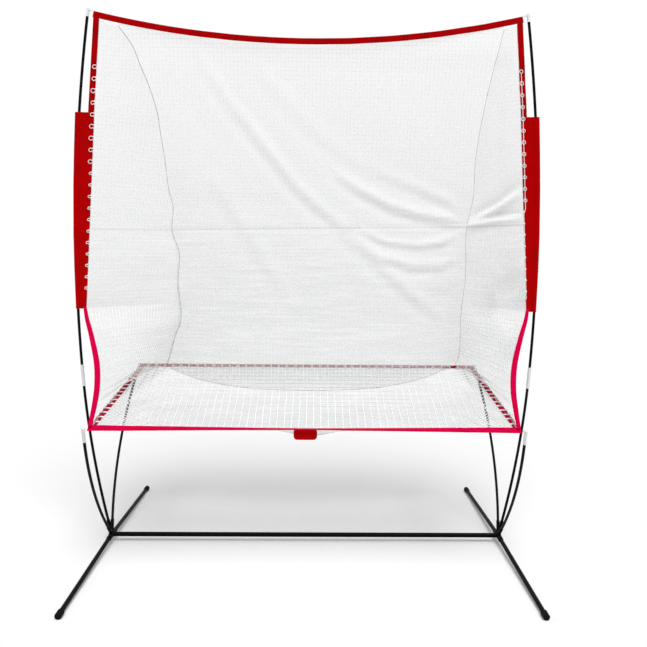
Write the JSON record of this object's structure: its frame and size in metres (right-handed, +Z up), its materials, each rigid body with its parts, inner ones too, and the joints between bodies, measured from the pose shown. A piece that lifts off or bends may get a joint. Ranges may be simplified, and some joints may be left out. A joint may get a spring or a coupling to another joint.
{
  "type": "golf chipping net",
  "caption": "Free-standing white catch net in a red border, held up by bent poles on a black tube base, with a shallow tray that holds the ball.",
  "frame": {"origin": "on the floor, at the middle of the base between the four feet", "axes": "+X to the right seen from the front, +Y to the back, +Z up"},
  "size_m": [2.3858, 1.641, 2.7346],
  "materials": {
    "coated_steel": "black powder coat, satin",
    "fibreglass": "black pultruded fibreglass, satin",
    "bright_ferrule": "bright drawn tube",
    "spring_steel": "bare spring steel",
    "black_rubber": "matt moulded rubber",
    "tip_plastic": "pale moulded plastic",
    "red_webbing": "woven webbing, matt",
    "red_sleeve": "woven polyester cloth, matt",
    "crimson_webbing": "woven webbing, matt",
    "white_net": "knotless white netting",
    "white_cord": "braided white cord",
    "red_patch": "plain stitched cloth"
  },
  "bodies": {
    "net_frame": {"back_net": "white_net", "button_clips": "spring_steel", "corner_loops": "white_cord", "crossbar_left": "coated_steel", "crossbar_right": "coated_steel", "front_foot_left": "black_rubber", "front_foot_right": "black_rubber", "front_leg_left": "coated_steel", "front_leg_right": "coated_steel", "front_pole_left": "fibreglass", "front_pole_right": "fibreglass", "front_tip_left": "tip_plastic", "front_tip_right": "tip_plastic", "hub_left": "coated_steel", "hub_right": "coated_steel", "lacing_left": "white_cord", "lacing_right": "white_cord", "lower_ferrule_left": "bright_ferrule", "lower_ferrule_right": "bright_ferrule", "lower_side_band_left": "crimson_webbing", "lower_side_band_right": "crimson_webbing", "main_pole_lower_left": "fibreglass", "main_pole_lower_right": "fibreglass", "main_pole_middle_left": "fibreglass", "main_pole_middle_right": "fibreglass", "main_pole_upper_left": "fibreglass", "main_pole_upper_right": "fibreglass", "main_tip_left": "tip_plastic", "main_tip_right": "tip_plastic", "rear_foot_left": "black_rubber", "rear_foot_right": "black_rubber", "rear_leg_left": "coated_steel", "rear_leg_right": "coated_steel", "rear_pole_left": "fibreglass", "rear_pole_right": "fibreglass", "rear_tip_left": "tip_plastic", "rear_tip_right": "tip_plastic", "seam_cord": "white_cord", "side_band_left": "red_webbing", "side_band_right": "red_webbing", "side_net_left": "white_net", "side_net_right": "white_net", "sleeve_left": "red_sleeve", "sleeve_right": "red_sleeve", "top_band": "red_webbing", "tray_front_band": "crimson_webbing", "tray_net": "white_net", "tray_patch": "red_patch", "tray_rear_band": "crimson_webbing", "tray_side_band_left": "crimson_webbing", "tray_side_band_right": "crimson_webbing", "upper_ferrule_left": "bright_ferrule", "upper_ferrule_right": "bright_ferrule"},
    "crossbar_button_left": {"crossbar_button_left": "spring_steel"},
    "crossbar_button_middle": {"crossbar_button_middle": "spring_steel"},
    "crossbar_button_right": {"crossbar_button_right": "spring_steel"},
    "front_leg_button_left": {"front_leg_button_left": "spring_steel"},
    "front_leg_button_right": {"front_leg_button_right": "spring_steel"},
    "rear_leg_button_left": {"rear_leg_button_left": "spring_steel"},
    "rear_leg_button_right": {"rear_leg_button_right": "spring_steel"}
  },
  "joints": [
    {"name": "crossbar_button_left_press", "type": "slide", "parent": "net_frame", "child": "crossbar_button_left", "axis": [0, -1, 0], "range_m": [0, 0.0052], "stiffness_N_per_m": 400, "springref_m": -0.002},
    {"name": "crossbar_button_middle_press", "type": "slide", "parent": "net_frame", "child": "crossbar_button_middle", "axis": [0, -1, 0], "range_m": [0, 0.0052], "stiffness_N_per_m": 400, "springref_m": -0.002},
    {"name": "crossbar_button_right_press", "type": "slide", "parent": "net_frame", "child": "crossbar_button_right", "axis": [0, -1, 0], "range_m": [0, 0.0052], "stiffness_N_per_m": 400, "springref_m": -0.002},
    {"name": "front_leg_button_left_press", "type": "slide", "parent": "net_frame", "child": "front_leg_button_left", "axis": [1, 0, 0], "range_m": [0, 0.0052], "stiffness_N_per_m": 400, "springref_m": -0.002},
    {"name": "front_leg_button_right_press", "type": "slide", "parent": "net_frame", "child": "front_leg_button_right", "axis": [-1, 0, 0], "range_m": [0, 0.0052], "stiffness_N_per_m": 400, "springref_m": -0.002},
    {"name": "rear_leg_button_left_press", "type": "slide", "parent": "net_frame", "child": "rear_leg_button_left", "axis": [1, 0, 0], "range_m": [0, 0.0052], "stiffness_N_per_m": 400, "springref_m": -0.002},
    {"name": "rear_leg_button_right_press", "type": "slide", "parent": "net_frame", "child": "rear_leg_button_right", "axis": [-1, 0, 0], "range_m": [0, 0.0052], "stiffness_N_per_m": 400, "springref_m": -0.002}
  ]
}
